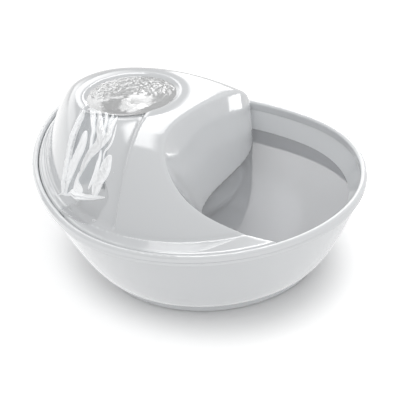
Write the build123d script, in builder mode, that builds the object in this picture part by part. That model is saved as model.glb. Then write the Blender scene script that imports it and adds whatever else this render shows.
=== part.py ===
"""Pet water fountain: a raindrop-shaped bowl, a hood with a bubbling upper dish, and its pump unit.

Millimetres, +Z up. The origin is under the middle of the bowl's length and width, on the table.
The bowl's long axis is Y: the wide drinking end points to -Y, the pointed end to +Y.
"""
from build123d import *
import os
from math import hypot, sqrt

os.makedirs("parts", exist_ok=True)

# ---------------------------------------------------------------- driving dimensions
# Rim outline: a big circle, a small circle at the pointed end, and two side arcs tangent to both
rim_radius = 130.0
rim_tip_radius = 45.0
rim_tip_distance = 158.5
rim_side_radius = 258.0
bowl_height = 76.0

# Lip round the rim, with a groove and a bead below it
lip_width = 5.2
lip_height = 4.6
lip_rounding = 2.2
groove_height = 0.7
groove_depth = 1.3
bead_height = 2.4
bead_inset = 0.7
body_inset = 2.6

# Bowl body
foot_radius = 90.0
foot_tip_radius = 70.0
foot_tip_distance = 30.0
foot_side_radius = 125.0
foot_ring_width = 13.0
foot_ring_height = 4.5
underside_recess = 3.5
outer_curve = 1.6
floor_level = 12.0
floor_radius = 77.0
floor_tip_radius = 50.0
floor_tip_distance = 45.0
floor_side_radius = 110.0
inner_curve = 1.25
bowl_levels = 6
water_below_rim = 18.4

# Rubber pads under the foot ring
pad_diameter = 9.0
pad_stand = 1.0
pad_recess = 1.5
pad_gap = 0.1

# Hood
hood_wall = 7.0
hood_gap = 0.3
brim_drop = 0.8
brim_depth = 9.2
brim_land = 2.0
gutter_depth = 1.8
crest_rounding = 1.0
dome_height = 53.8
dome_inset = 18.0
dome_tip_inset = 9.0
dome_side_spread = 13.0
dome_shift_x = -1.0
dome_shift_y = 12.0
dome_curve = 1.76
dome_levels = 8
skirt_below_water = 3.6

# Upper dish, placed from the centre of the rim's big circle
dish_from_centre = (-19.0, 71.0)
dish_radius = 40.0
dish_land = 5.0
dish_depth = 13.0
dish_wall = 5.0
dish_rounding = 2.0
crown_margin = 6.0

# Cascade channel down the left flank, measured from the middle of the dish
channel_heading = 213.0
channel_start = 20.0
channel_end = 126.0
channel_top_width = 50.0
channel_foot_width = 66.0
channel_depth = 3.2

# Drinking scoop: its wall is straight from a curve at the water to a curve above the hood
scoop_top_above_rim = 60.0
scoop_water_curve = [(112, 84), (99, 63), (73, 34), (32, 11), (-8, -8), (-25, -24), (-32, -50),
                     (-28, -80), (-20, -102), (-8, -132)]
scoop_top_curve = [(140, 120), (118, 90), (62, 34), (10, 15), (-51, -8), (-80, -44), (-89, -98),
                   (-66, -148), (-57, -182), (-40, -222)]

# Cord notch at the pointed end, its grommet, and the arch over it in the hood
notch_width = 9.0
notch_depth = 7.0
cord_bore = 4.6
grommet_flange = 2.0
grommet_flange_depth = 1.6
grommet_gap = 0.1
arch_width = 17.0
arch_top_above_rim = 5.0
arch_length = 22.0

# Filter housing: a tapered round tub under the hood, with a lid
tub_foot_from_centre = (-4.0, 42.0)
tub_foot_radius = 49.0
tub_top_from_centre = (-12.0, 55.0)
tub_top_radius = 73.0
tub_wall = 2.2
lid_thickness = 2.5
lid_below_water = 7.6
lid_lip = 1.6
lid_gap = 0.2
window_count = 9
window_width = 5.0
window_pitch = 9.0
window_margin = 8.0

# Filter cartridge
cartridge_from_centre = 41.0
cartridge_width = 88.0
cartridge_depth = 10.0
cartridge_gap = 0.5
frame_border = 4.0
frame_skin = 1.6
frame_columns = 7
frame_rows = 3
frame_bar = 1.6
carbon_share = 0.45
pull_tab = (22.0, 2.4, 5.0)
guide_wall = 1.8
guide_reach = 6.0

# Pump: its shaft lies along X, its outlet is under the dish
cup_height = 4.0
cup_radius = 5.5
cup_lip = 0.8
cup_neck_radius = 1.8
cup_spacing = (22.0, 19.0)
pump_height = 27.5
pump_width = 32.0
pump_shell = 2.0
pump_rounding = 3.0
motor_length = 34.0
volute_length = 12.0
volute_front = 2.8
chamber_radius = 11.0
eye_hole_radius = 1.3
eye_circle = 4.4
eye_holes = 6
spigot_radius = 5.0
spigot_bore = 3.6
spigot_height = 12.0
seal_inner = 11.9
seal_outer = 13.0
seal_depth = 1.2
well_radius = 7.2
well_wall = 1.4
well_depth = 16.5
magnet_radius = 6.4
magnet_length = 14.0
magnet_start = 1.2
shaft_radius = 1.0
shaft_gap = 0.05
bushing_radius = 2.2
bushing_length = 2.2
bushing_seat = 2.0
impeller_radius = 9.6
impeller_height = 6.0
impeller_plate = 1.2
impeller_hub = 2.6
impeller_gap = 0.8
blade_count = 6
blade_thickness = 1.2
core_thickness = 4.0
core_height = 12.0
core_gap = 0.2
yoke_thickness = 6.0
coil_length = 10.0
coil_width = 16.0
coil_height = 21.0
coil_from_well = 1.2
strainer_length = 8.0
strainer_wall = 1.6
strainer_inset = 2.0
strainer_slots = 4
strainer_slot = (3.0, 1.6)
inlet_hole_radius = 1.7
inlet_circle = 6.0
inlet_holes = 4
dial_radius = 9.0
dial_thickness = 2.4
dial_gap = 0.3
dial_pin_radius = 2.0
dial_pin_head = 3.2
dial_tab = (5.0, 3.0)
gland_radius = 5.0
gland_tip_radius = 3.4
gland_flange = 1.5
gland_length = 9.0

# Riser tube and bubbler
tube_wall = 1.6
tube_gap = 0.05
tube_above_pump = 2.0
stem_gap = 0.08
stem_wall = 1.4
stem_length = 24.0
tube_below_dish = 3.0
bubbler_radius = 10.0
bubbler_seat = 2.2
bubbler_cap_radius = 7.0
bubbler_cap_height = 4.5
bubbler_cap_wall = 1.4
bubbler_slots = 8
bubbler_slot_width = 1.8

# ---------------------------------------------------------------- derived places
bowl_y = (rim_radius - rim_tip_distance - rim_tip_radius - grommet_flange_depth) / 2
rim_tip_y = bowl_y + rim_tip_distance + rim_tip_radius
water_level = bowl_height - water_below_rim
lip_bottom = bowl_height - lip_height - groove_height - bead_height
side_bottom = pad_stand + foot_ring_height
brim_top = bowl_height - brim_drop
brim_bottom = brim_top - brim_depth
skirt_bottom = water_level - skirt_below_water
dome_top = brim_top + dome_height
dish_x = dish_from_centre[0]
dish_y = bowl_y + dish_from_centre[1]
dish_floor = dome_top - dish_depth
lid_top = water_level - lid_below_water
lid_bottom = lid_top - lid_thickness
tub_floor = floor_level + tub_wall
pump_bottom = tub_floor + cup_height
pump_top = pump_bottom + pump_height
pump_axis = pump_bottom + pump_height / 2
volute_x = dish_x - volute_length / 2
motor_x = dish_x + volute_length / 2
pump_rear = motor_x + motor_length
pump_middle = (motor_x + pump_rear) / 2
eye_face = volute_x + volute_front
well_end = motor_x + well_depth
coil_start = well_end + bushing_seat + well_wall + coil_from_well
coil_end = coil_start + coil_length
core_reach = well_radius + well_wall + core_gap + core_thickness
impeller_x = eye_face + impeller_gap + bushing_length - bushing_seat
magnet_x = motor_x + magnet_start
tube_radius = spigot_radius + tube_gap + tube_wall
stem_radius = spigot_radius + tube_gap - stem_gap
strainer_x = volute_x - strainer_length
dial_x = strainer_x - dial_gap - dial_thickness
cartridge_y = bowl_y + cartridge_from_centre
ring_middle = foot_radius - foot_ring_width / 2
tip_ring_middle = foot_tip_radius - foot_ring_width / 2
half = sqrt(0.5)
pad_places = [
    (hand * half * radius, bowl_y + ahead + turn * half * radius)
    for radius, ahead, turn in ((ring_middle, 0, -1), (tip_ring_middle, foot_tip_distance, 1))
    for hand in (-1, 1)
]


class Raindrop:
    """A raindrop outline along Y: a big circle, a tip circle and two side arcs tangent to both."""

    def __init__(self, big, tip, reach, side, x=0.0, y=0.0):
        self.big, self.tip, self.reach, self.side, self.x, self.y = big, tip, reach, side, x, y

    def inset(self, depth):
        """The parallel outline that lies depth inside this one."""
        return Raindrop(self.big - depth, self.tip - depth, self.reach, self.side - depth, self.x, self.y)

    def blend(self, other, share):
        """The outline that lies share of the way from this one to the other."""
        pairs = zip(vars(self).values(), vars(other).values())
        return Raindrop(*[a + (b - a) * share for a, b in pairs])

    def draw(self):
        """Draws the outline in the open BuildLine."""
        big_arm, tip_arm = self.side - self.big, self.side - self.tip
        along = (big_arm**2 - tip_arm**2 + self.reach**2) / (2 * self.reach)
        across = sqrt(big_arm**2 - along**2)
        bottom = (self.x, self.y - self.big)
        top = (self.x, self.y + self.reach + self.tip)
        flanks = []
        for hand in (1, -1):
            low = (self.x + hand * across * self.big / big_arm, self.y - along * self.big / big_arm)
            high = (
                self.x + hand * across * self.tip / tip_arm,
                self.y + self.reach + (self.reach - along) * self.tip / tip_arm,
            )
            centre = (self.x - hand * across, self.y + along)
            middle = ((low[0] + high[0]) / 2 - centre[0], (low[1] + high[1]) / 2 - centre[1])
            stretch = self.side / hypot(*middle)
            flanks.append((low, (centre[0] + middle[0] * stretch, centre[1] + middle[1] * stretch), high))
        right, left = flanks
        ThreePointArc(left[0], bottom, right[0])
        ThreePointArc(*right)
        ThreePointArc(right[2], top, left[2])
        ThreePointArc(*reversed(left))


rim = Raindrop(rim_radius, rim_tip_radius, rim_tip_distance, rim_side_radius, 0, bowl_y)
foot = Raindrop(foot_radius, foot_tip_radius, foot_tip_distance, foot_side_radius, 0, bowl_y)
floor = Raindrop(floor_radius, floor_tip_radius, floor_tip_distance, floor_side_radius, 0, bowl_y)
body_top = rim.inset(body_inset)
mouth = rim.inset(lip_width)
dome_foot = Raindrop(
    rim_radius - dome_inset, rim_tip_radius - dome_tip_inset, rim_tip_distance - dome_shift_y,
    rim_side_radius + dome_side_spread, dome_shift_x, bowl_y + dome_shift_y)
crown_radius = dish_radius + dish_land
dome_crown = Raindrop(crown_radius, crown_radius - 1, 3, crown_radius + 6, dish_x, dish_y)


def cavity_at(height):
    """The bowl's inner outline at a height between its floor and the underside of its lip."""
    share = ((height - floor_level) / (lip_bottom - floor_level)) ** (1 / inner_curve)
    return floor.blend(mouth, share)


def face_at(outline, height):
    """A face inside the raindrop outline, at the height."""
    with BuildSketch(Plane.XY.offset(height), mode=Mode.PRIVATE) as sketch:
        with BuildLine():
            outline.draw()
        make_face()
    return sketch.sketch


def dome_solid(depth):
    """The hood's domed outside, or the surface that lies depth inside it."""
    with BuildPart(mode=Mode.PRIVATE) as solid:
        for step in range(dome_levels + 1):
            share = 1 - step / dome_levels
            height = brim_top + dome_height * (1 - share**dome_curve) - depth
            add(face_at(dome_crown.blend(dome_foot, share).inset(depth), height))
        loft()
    return solid.part


def scoop_points(height, depth):
    """The scoop wall's curve at a height, moved depth away from the drinking side."""
    share = (height - water_level) / (bowl_height + scoop_top_above_rim - water_level)
    plain = [
        (low[0] + (high[0] - low[0]) * share, bowl_y + low[1] + (high[1] - low[1]) * share)
        for low, high in zip(scoop_water_curve, scoop_top_curve)
    ]
    moved = []
    for index, point in enumerate(plain):
        before, after = plain[max(index - 1, 0)], plain[min(index + 1, len(plain) - 1)]
        run = (after[0] - before[0], after[1] - before[1])
        shift = depth / hypot(*run)
        moved.append((point[0] + run[1] * shift, point[1] - run[0] * shift))
    return moved


def scoop_solid(depth):
    """The space that the scoop takes out of the hood, its wall moved depth into the hood."""
    beyond = 2 * rim_radius
    with BuildPart(mode=Mode.PRIVATE) as solid:
        for height in (skirt_bottom - brim_depth, bowl_height + scoop_top_above_rim):
            points = scoop_points(height, depth)
            with BuildSketch(Plane.XY.offset(height)):
                with BuildLine():
                    Spline(*points)
                    Polyline(points[-1], (beyond, points[-1][1]), (beyond, points[0][1]), points[0])
                make_face()
        loft(ruled=True)
    return solid.part


def pump_plane(x):
    """A plane across the pump's shaft at x: its own x runs along +Y and its normal along +X."""
    return Plane(origin=(x, dish_y, pump_axis), x_dir=(0, 1, 0), z_dir=(1, 0, 0))


def tub_circle(height, depth):
    """The tub's circle at a height, depth inside its outer wall: centre and radius."""
    share = (height - floor_level) / (lid_bottom - floor_level)
    low, high = tub_foot_from_centre, tub_top_from_centre
    centre = (low[0] + (high[0] - low[0]) * share, bowl_y + low[1] + (high[1] - low[1]) * share)
    return centre, tub_foot_radius + (tub_top_radius - tub_foot_radius) * share - depth


def finish(builder, name):
    """Labels a finished piece and writes it."""
    builder.part.label = name
    export_step(builder.part, f"parts/{name}.step")


# ---------------------------------------------------------------- bowl
with BuildPart() as bowl_moulding:
    add(face_at(foot, pad_stand))
    extrude(amount=foot_ring_height)
    for step in range(bowl_levels + 1):
        share = step / bowl_levels
        height = side_bottom + (lip_bottom - side_bottom) * share**outer_curve
        add(face_at(foot.blend(body_top, share), height))
    loft()
    # bead, groove and lip
    add(face_at(rim.inset(bead_inset), lip_bottom))
    extrude(amount=bead_height)
    add(face_at(rim.inset(groove_depth), lip_bottom + bead_height))
    extrude(amount=groove_height)
    add(face_at(rim, bowl_height - lip_height))
    extrude(amount=lip_height)
    # inside
    for step in range(bowl_levels + 1):
        share = step / bowl_levels
        height = floor_level + (lip_bottom - floor_level) * share**inner_curve
        add(face_at(floor.blend(mouth, share), height))
    loft(mode=Mode.SUBTRACT)
    add(face_at(mouth, lip_bottom))
    extrude(amount=bowl_height - lip_bottom, mode=Mode.SUBTRACT)
    fillet(bowl_moulding.faces().sort_by(Axis.Z)[-1].edges(), radius=lip_rounding)
    # underside, with a seat for each foot pad
    add(face_at(foot.inset(foot_ring_width), pad_stand))
    extrude(amount=underside_recess, mode=Mode.SUBTRACT)
    with BuildSketch(Plane.XY.offset(pad_stand)):
        with Locations(*pad_places):
            Circle(pad_diameter / 2 + pad_gap)
    extrude(amount=pad_recess, mode=Mode.SUBTRACT)
    # cord notch through the lip at the pointed end
    with BuildSketch(Plane.XY.offset(bowl_height)):
        with Locations((0, rim_tip_y - lip_width / 2)):
            Rectangle(notch_width, 3 * lip_width)
    extrude(amount=-notch_depth, mode=Mode.SUBTRACT)

# the moulding's lip ring is a node of its own, so that collision follows the bowl's inside
lip_plane = Plane.XY.offset(lip_bottom)
with BuildPart() as bowl:
    add(bowl_moulding.part)
    split(bisect_by=lip_plane, keep=Keep.BOTTOM)
finish(bowl, "bowl")

with BuildPart() as bowl_rim:
    add(bowl_moulding.part)
    split(bisect_by=lip_plane, keep=Keep.TOP)
finish(bowl_rim, "bowl_rim")

with BuildPart() as foot_pads:
    with BuildSketch():
        with Locations(*pad_places):
            Circle(pad_diameter / 2)
    extrude(amount=pad_stand + pad_recess)
finish(foot_pads, "foot_pads")

with BuildPart() as cord_grommet:
    tip_centre = (0, rim_tip_y - rim_tip_radius)
    with BuildSketch(Plane.XY.offset(bowl_height - notch_depth)):
        with Locations(tip_centre):
            Circle(rim_tip_radius + grommet_flange_depth)
            Circle(rim_tip_radius + grommet_gap, mode=Mode.SUBTRACT)
            Circle(mouth.tip - grommet_gap)
            Circle(mouth.tip - grommet_flange_depth, mode=Mode.SUBTRACT)
        with Locations((0, rim_tip_y)):
            Rectangle(notch_width + 2 * grommet_flange, 4 * lip_width, mode=Mode.INTERSECT)
        with Locations((0, rim_tip_y - lip_width / 2)):
            Rectangle(notch_width - 2 * grommet_gap, lip_width + grommet_flange_depth)
    extrude(amount=notch_depth)
    with BuildSketch(Plane.XZ.offset(-rim_tip_y)):
        with Locations((0, bowl_height - notch_depth / 2)):
            Circle(cord_bore / 2)
    extrude(amount=3 * lip_width, both=True, mode=Mode.SUBTRACT)
finish(cord_grommet, "cord_grommet")

# ---------------------------------------------------------------- hood
outer_dome, inner_dome, channel_bed = dome_solid(0), dome_solid(hood_wall), dome_solid(channel_depth)
scoop, scoop_wall_back = scoop_solid(0), scoop_solid(hood_wall)

with BuildPart() as hollow:
    add(inner_dome)
    add(face_at(dome_foot.inset(hood_wall), skirt_bottom - 1))
    extrude(amount=brim_top - hood_wall - skirt_bottom + 1)
    add(face_at(rim, skirt_bottom - 1))
    extrude(amount=brim_bottom - skirt_bottom + 1)
    add(scoop_wall_back, mode=Mode.SUBTRACT)

with BuildPart() as channel_cutter:
    with BuildSketch(Plane(origin=(dish_x, dish_y, brim_top)).rotated((0, 0, channel_heading))):
        with BuildLine():
            Polyline(
                (channel_start, -channel_top_width / 2),
                (channel_end, -channel_foot_width / 2),
                (channel_end, channel_foot_width / 2),
                (channel_start, channel_top_width / 2),
                close=True,
            )
        make_face()
    extrude(amount=dome_height + channel_depth)
    add(channel_bed, mode=Mode.SUBTRACT)

with BuildPart() as gutter:
    add(face_at(dome_foot, brim_top - gutter_depth))
    add(face_at(mouth.inset(hood_gap + brim_land), brim_top))
    loft(ruled=True)

with BuildPart() as hood_moulding:
    for height in (skirt_bottom, (skirt_bottom + brim_bottom) / 2, brim_bottom, lip_bottom):
        add(face_at(cavity_at(height).inset(hood_gap), height))
    loft(ruled=True)
    add(face_at(mouth.inset(hood_gap), lip_bottom))
    extrude(amount=brim_top - lip_bottom)
    add(gutter.part, mode=Mode.SUBTRACT)
    add(face_at(dome_foot, brim_bottom))
    extrude(amount=brim_depth)
    add(outer_dome)
    add(hollow.part, mode=Mode.SUBTRACT)
    # upper dish: a shell hung in the crown, then its hollow and the bubbler's seat and bore
    shell_edge, shell_top = dish_radius + dish_land / 2, dome_top - dish_land / 2
    dish_plane = Plane(origin=(dish_x, dish_y, 0), x_dir=(1, 0, 0), z_dir=(0, -1, 0))
    dish_axis = Axis((dish_x, dish_y, 0), (0, 0, 1))
    with BuildSketch(dish_plane):
        with BuildLine():
            shell_bottom = dish_floor - dish_wall
            ThreePointArc((-shell_edge, shell_top), (0, shell_bottom), (shell_edge, shell_top))
            Line((shell_edge, shell_top), (-shell_edge, shell_top))
        make_face()
        Rectangle(shell_edge, dome_top, align=(Align.MIN, Align.MIN), mode=Mode.INTERSECT)
    revolve(axis=dish_axis)
    with BuildSketch(dish_plane):
        with BuildLine():
            ThreePointArc((-dish_radius, dome_top), (0, dish_floor), (dish_radius, dome_top))
            Line((dish_radius, dome_top), (-dish_radius, dome_top))
        make_face()
        Rectangle(dish_radius, dome_top, align=(Align.MIN, Align.MIN), mode=Mode.INTERSECT)
    revolve(axis=dish_axis, mode=Mode.SUBTRACT)
    with BuildSketch(Plane.XY.offset(dish_floor)):
        with Locations((dish_x, dish_y)):
            Circle(bubbler_radius + hood_gap)
    extrude(amount=bubbler_seat, mode=Mode.SUBTRACT)
    with BuildSketch(Plane.XY.offset(dish_floor)):
        with Locations((dish_x, dish_y)):
            Circle(spigot_radius + tube_gap)
    extrude(amount=-2 * dish_wall, mode=Mode.SUBTRACT)
    add(channel_cutter.part, mode=Mode.SUBTRACT)
    # cord arch at the pointed end
    with BuildSketch(Plane.XZ.offset(-rim_tip_y)):
        with Locations((0, skirt_bottom)):
            Rectangle(arch_width, bowl_height + arch_top_above_rim - skirt_bottom,
                      align=(Align.CENTER, Align.MIN))
    extrude(amount=arch_length, mode=Mode.SUBTRACT)
    # dish rim, then the scoop with a rounded crest
    round_edges = hood_moulding.edges().filter_by(GeomType.CIRCLE)
    dish_rim = round_edges.filter_by(lambda edge: edge.center().Z > dome_top - 1)
    fillet(dish_rim.sort_by(SortBy.RADIUS)[-1], radius=dish_rounding)
    add(scoop, mode=Mode.SUBTRACT)
    scoop_wall = hood_moulding.faces().sort_by(SortBy.AREA)[-1]
    crest = scoop_wall.edges().filter_by(lambda edge: edge.center().Z > brim_top + 1)
    fillet(crest, radius=crest_rounding)

# the moulding's crown with the upper dish is a node of its own, so that collision leaves the dish open
with BuildPart() as crown_core:
    with BuildSketch(Plane.XY.offset(dish_floor - 2 * dish_wall)):
        with Locations((dish_x, dish_y)):
            Circle(dish_radius + crown_margin)
    extrude(amount=dish_depth + 3 * dish_wall)

with BuildPart() as hood:
    add(hood_moulding.part)
    add(crown_core.part, mode=Mode.SUBTRACT)
finish(hood, "hood")

with BuildPart() as upper_dish:
    add(hood_moulding.part)
    add(crown_core.part, mode=Mode.INTERSECT)
finish(upper_dish, "upper_dish")

with BuildPart() as bubbler:
    seat_top = dish_floor + bubbler_seat
    with BuildSketch(Plane.XY.offset(dish_floor)):
        with Locations((dish_x, dish_y)):
            Circle(bubbler_radius)
    extrude(amount=bubbler_seat)
    chamfer(bubbler.faces().sort_by(Axis.Z)[-1].edges(), length=bubbler_seat / 3)
    with BuildSketch(Plane.XY.offset(seat_top)):
        with Locations((dish_x, dish_y)):
            Circle(bubbler_cap_radius)
    extrude(amount=bubbler_cap_height)
    fillet(bubbler.faces().sort_by(Axis.Z)[-1].edges(), radius=bubbler_cap_wall)
    with BuildSketch(Plane.XY.offset(dish_floor)):
        with Locations((dish_x, dish_y)):
            Circle(stem_radius)
    extrude(amount=-stem_length)
    # bore from below, chamber under the cap, and slots round it
    with BuildSketch(Plane.XY.offset(dish_floor - stem_length)):
        with Locations((dish_x, dish_y)):
            Circle(stem_radius - stem_wall)
    extrude(amount=stem_length + bubbler_seat, mode=Mode.SUBTRACT)
    with BuildSketch(Plane.XY.offset(seat_top)):
        with Locations((dish_x, dish_y)):
            Circle(bubbler_cap_radius - bubbler_cap_wall)
    extrude(amount=bubbler_cap_height - bubbler_cap_wall, mode=Mode.SUBTRACT)
    with BuildSketch(Plane.XY.offset(seat_top)):
        with Locations((dish_x, dish_y)):
            with PolarLocations(bubbler_cap_radius, bubbler_slots):
                Rectangle(4 * bubbler_cap_wall, bubbler_slot_width)
    extrude(amount=bubbler_cap_height - 2 * bubbler_cap_wall, mode=Mode.SUBTRACT)
finish(bubbler, "bubbler")

# ---------------------------------------------------------------- filter housing and its lid
with BuildPart() as tub_hollow:
    for height in (tub_floor, lid_bottom):
        centre, radius = tub_circle(height, tub_wall)
        with BuildSketch(Plane.XY.offset(height)):
            with Locations(centre):
                Circle(radius)
    loft(ruled=True)

guide_width = cartridge_width + 2 * (cartridge_gap + guide_wall)
guide_depth = cartridge_depth + 2 * (cartridge_gap + guide_wall)
cartridge_x = tub_foot_from_centre[0]
cartridge_top = lid_bottom - cartridge_gap

with BuildPart() as guides:
    with BuildSketch(Plane.XY.offset(tub_floor)):
        with Locations((cartridge_x, cartridge_y)):
            Rectangle(3 * tub_top_radius, guide_wall)
            Rectangle(guide_width, guide_depth)
            Rectangle(cartridge_width + 2 * cartridge_gap, cartridge_depth + 2 * cartridge_gap,
                      mode=Mode.SUBTRACT)
            Rectangle(guide_width - 2 * guide_reach, guide_depth, mode=Mode.SUBTRACT)
    extrude(amount=lid_bottom - lid_lip - lid_gap - tub_floor)
    add(tub_hollow.part, mode=Mode.INTERSECT)

with BuildPart() as filter_housing:
    for height in (floor_level, lid_bottom):
        centre, radius = tub_circle(height, 0)
        with BuildSketch(Plane.XY.offset(height)):
            with Locations(centre):
                Circle(radius)
    loft(ruled=True)
    chamfer(filter_housing.faces().sort_by(Axis.Z)[0].edges(), length=tub_wall / 2)
    add(tub_hollow.part, mode=Mode.SUBTRACT)
    with BuildSketch(Plane.XZ.offset(-bowl_y)):
        with Locations((cartridge_x, (tub_floor + lid_bottom) / 2)):
            with GridLocations(window_pitch, 1, window_count, 1):
                SlotOverall(lid_bottom - tub_floor - 2 * window_margin, window_width, rotation=90)
    extrude(amount=tub_top_radius, mode=Mode.SUBTRACT)
    add(guides.part)
finish(filter_housing, "filter_housing")

with BuildPart() as housing_lid:
    lid_centre, lid_radius = tub_circle(lid_bottom, 0)
    with BuildSketch(Plane.XY.offset(lid_bottom)):
        with Locations(lid_centre):
            Circle(lid_radius)
    extrude(amount=lid_thickness)
    fillet(housing_lid.faces().sort_by(Axis.Z)[-1].edges(), radius=lid_thickness / 3)
    # locating ring, clear of the tub's leaning wall
    low_centre, low_radius = tub_circle(lid_bottom - lid_lip, tub_wall + lid_gap)
    ring_radius = low_radius - hypot(lid_centre[0] - low_centre[0], lid_centre[1] - low_centre[1])
    with BuildSketch(Plane.XY.offset(lid_bottom)):
        with Locations(lid_centre):
            Circle(ring_radius)
            Circle(ring_radius - tub_wall, mode=Mode.SUBTRACT)
    extrude(amount=-lid_lip)
    with BuildSketch(Plane.XY.offset(lid_bottom - lid_lip)):
        with Locations((cartridge_x, cartridge_y)):
            Rectangle(cartridge_width + 2 * cartridge_gap, cartridge_depth + 2 * cartridge_gap)
        with Locations((dish_x, dish_y)):
            Circle(tube_radius + cartridge_gap)
    extrude(amount=lid_thickness + lid_lip, mode=Mode.SUBTRACT)
finish(housing_lid, "housing_lid")

# ---------------------------------------------------------------- filter cartridge
half_depth = cartridge_depth / 2
cartridge_height = cartridge_top - tub_floor
cell_width = (cartridge_width - 2 * frame_border + frame_bar) / frame_columns
cell_height = (cartridge_height - 2 * frame_border + frame_bar) / frame_rows
inner_depth = cartridge_depth - 2 * frame_skin
carbon_depth = inner_depth * carbon_share


def filter_tray(hand):
    """One half of the cartridge's frame: an open tray with a window grid, towards -Y or +Y."""
    middle = (cartridge_x, tub_floor + cartridge_height / 2)
    with BuildPart(mode=Mode.PRIVATE) as tray:
        with BuildSketch(Plane.XZ.offset(-cartridge_y)):
            with Locations(middle):
                RectangleRounded(cartridge_width, cartridge_height, frame_border / 2)
        extrude(amount=-hand * half_depth)
        with BuildSketch(Plane.XZ.offset(-cartridge_y)):
            with Locations(middle):
                Rectangle(cartridge_width - 2 * frame_bar, cartridge_height - 2 * frame_bar)
        extrude(amount=-hand * (half_depth - frame_skin), mode=Mode.SUBTRACT)
        with BuildSketch(Plane.XZ.offset(-cartridge_y)):
            with Locations(middle):
                with GridLocations(cell_width, cell_height, frame_columns, frame_rows):
                    Rectangle(cell_width - frame_bar, cell_height - frame_bar)
        extrude(amount=-hand * half_depth, mode=Mode.SUBTRACT)
    return tray.part


front_tray, back_tray = filter_tray(-1), filter_tray(1)

with BuildPart() as cartridge_frame_front:
    add(front_tray)
    # pull tab on the top edge
    with BuildSketch(Plane.XY.offset(cartridge_top)):
        with Locations((cartridge_x, cartridge_y - half_depth / 2)):
            Rectangle(pull_tab[0], pull_tab[1])
    extrude(amount=pull_tab[2])
    fillet(cartridge_frame_front.faces().sort_by(Axis.Z)[-1].edges(), radius=pull_tab[1] / 3)
finish(cartridge_frame_front, "cartridge_frame_front")

with BuildPart() as cartridge_frame_back:
    add(back_tray)
finish(cartridge_frame_back, "cartridge_frame_back")

with BuildPart() as filter_carbon:
    with BuildSketch(Plane.XZ.offset(half_depth - frame_skin - cartridge_y)):
        with Locations((cartridge_x, tub_floor + cartridge_height / 2)):
            Rectangle(cartridge_width - 2 * frame_bar, cartridge_height - 2 * frame_bar)
    extrude(amount=-carbon_depth)
finish(filter_carbon, "filter_carbon")

with BuildPart() as filter_foam:
    with BuildSketch(Plane.XZ.offset(half_depth - frame_skin - carbon_depth - cartridge_y)):
        with Locations((cartridge_x, tub_floor + cartridge_height / 2)):
            Rectangle(cartridge_width - 2 * frame_bar, cartridge_height - 2 * frame_bar)
    extrude(amount=-(inner_depth - carbon_depth))
finish(filter_foam, "filter_foam")

# ---------------------------------------------------------------- pump
with BuildPart() as pump_body:
    with BuildSketch(pump_plane(motor_x)):
        RectangleRounded(pump_width, pump_height, pump_rounding)
    extrude(amount=motor_length)
    with BuildSketch(pump_plane(motor_x + pump_shell)):
        RectangleRounded(pump_width - 2 * pump_shell, pump_height - 2 * pump_shell,
                         pump_rounding - pump_shell)
    extrude(amount=motor_length, mode=Mode.SUBTRACT)
    # rotor well with its rear bushing's seat
    with BuildSketch(pump_plane(motor_x)):
        Circle(well_radius + well_wall)
    extrude(amount=well_depth + bushing_seat + well_wall)
    with BuildSketch(pump_plane(motor_x)):
        Circle(well_radius)
    extrude(amount=well_depth, mode=Mode.SUBTRACT)
    with BuildSketch(pump_plane(well_end)):
        Circle(bushing_radius)
    extrude(amount=bushing_seat, mode=Mode.SUBTRACT)
    # groove for the seal, and holes for the cups' stems
    with BuildSketch(pump_plane(motor_x)):
        Circle(seal_outer)
        Circle(seal_inner, mode=Mode.SUBTRACT)
    extrude(amount=seal_depth, mode=Mode.SUBTRACT)
    with BuildSketch(Plane.XY.offset(pump_bottom)):
        with Locations((pump_middle, dish_y)):
            with GridLocations(*cup_spacing, 2, 2):
                Circle(cup_neck_radius)
    extrude(amount=pump_shell, mode=Mode.SUBTRACT)
finish(pump_body, "pump_body")

with BuildPart() as pump_back_plate:
    with BuildSketch(pump_plane(pump_rear - pump_shell)):
        RectangleRounded(pump_width - 2 * pump_shell, pump_height - 2 * pump_shell,
                         pump_rounding - pump_shell)
        Circle(gland_tip_radius, mode=Mode.SUBTRACT)
    extrude(amount=pump_shell)
finish(pump_back_plate, "pump_back_plate")

with BuildPart() as stator_core:
    core_start, core_end = motor_x + pump_shell + core_gap, (coil_start + coil_end + yoke_thickness) / 2
    with BuildSketch(Plane.XY.offset(pump_axis - core_height / 2)):
        with Locations(((core_start + core_end) / 2, dish_y)):
            Rectangle(core_end - core_start, 2 * core_reach)
            with Locations((-yoke_thickness / 2, 0)):
                Rectangle(core_end - core_start - yoke_thickness, 2 * (core_reach - core_thickness),
                          mode=Mode.SUBTRACT)
    extrude(amount=core_height)
finish(stator_core, "stator_core")

with BuildPart() as stator_coil:
    coil_middle = (coil_start + coil_end) / 2
    with BuildSketch(Plane.XZ.offset(-dish_y)):
        with Locations((coil_middle, pump_axis)):
            RectangleRounded(coil_length, coil_height, core_thickness / 2)
            Rectangle(yoke_thickness, core_height, mode=Mode.SUBTRACT)
    extrude(amount=coil_width / 2, both=True)
finish(stator_coil, "stator_coil")

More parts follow.
